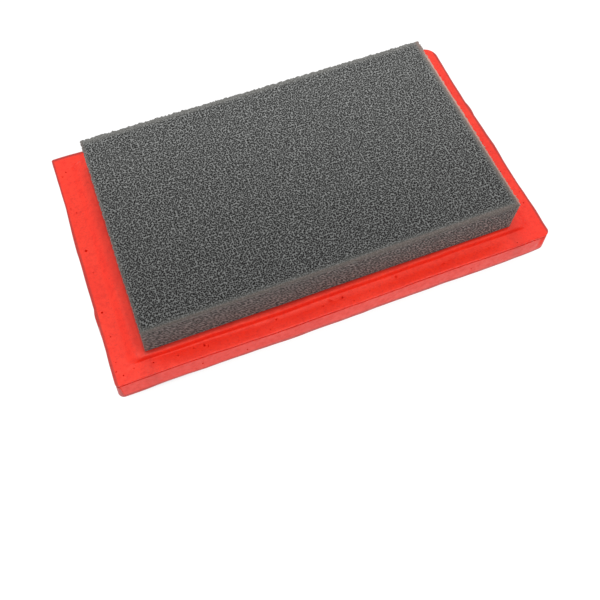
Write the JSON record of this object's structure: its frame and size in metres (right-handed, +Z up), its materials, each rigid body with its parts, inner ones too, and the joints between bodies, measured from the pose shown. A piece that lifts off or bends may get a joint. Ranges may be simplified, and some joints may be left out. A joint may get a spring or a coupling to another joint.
{
  "type": "panel air filter cartridge",
  "caption": "Flat rectangular panel air filter for a small engine: a moulded sealing frame, pleated paper, a support screen and a loose foam pre-cleaner pad.",
  "frame": {"origin": "under the middle of the cartridge, on the surface that its locating skirt stands on", "axes": "+X along the cartridge, +Y across it towards the back, +Z up, out of the dirty side that carries the foam pad"},
  "size_m": [0.2064, 0.1246, 0.0405],
  "materials": {
    "frame_polyurethane": "satin",
    "filter_paper": "matte",
    "screen_wire": "satin",
    "hot_melt": "satin",
    "foam": "matte"
  },
  "bodies": {
    "cartridge": {"seal_frame": "frame_polyurethane", "pleated_paper": "filter_paper", "screen_long_wires": "screen_wire", "screen_cross_wires": "screen_wire", "glue_bead_upper_front": "hot_melt", "glue_bead_upper_middle": "hot_melt", "glue_bead_upper_back": "hot_melt", "glue_bead_lower_front": "hot_melt", "glue_bead_lower_middle": "hot_melt", "glue_bead_lower_back": "hot_melt"},
    "precleaner": {"foam_precleaner": "foam"}
  },
  "joints": [
    {"name": "foam_lift", "type": "slide", "parent": "cartridge", "child": "precleaner", "axis": [0, 0, 1], "range_m": [0, 0.06]}
  ]
}
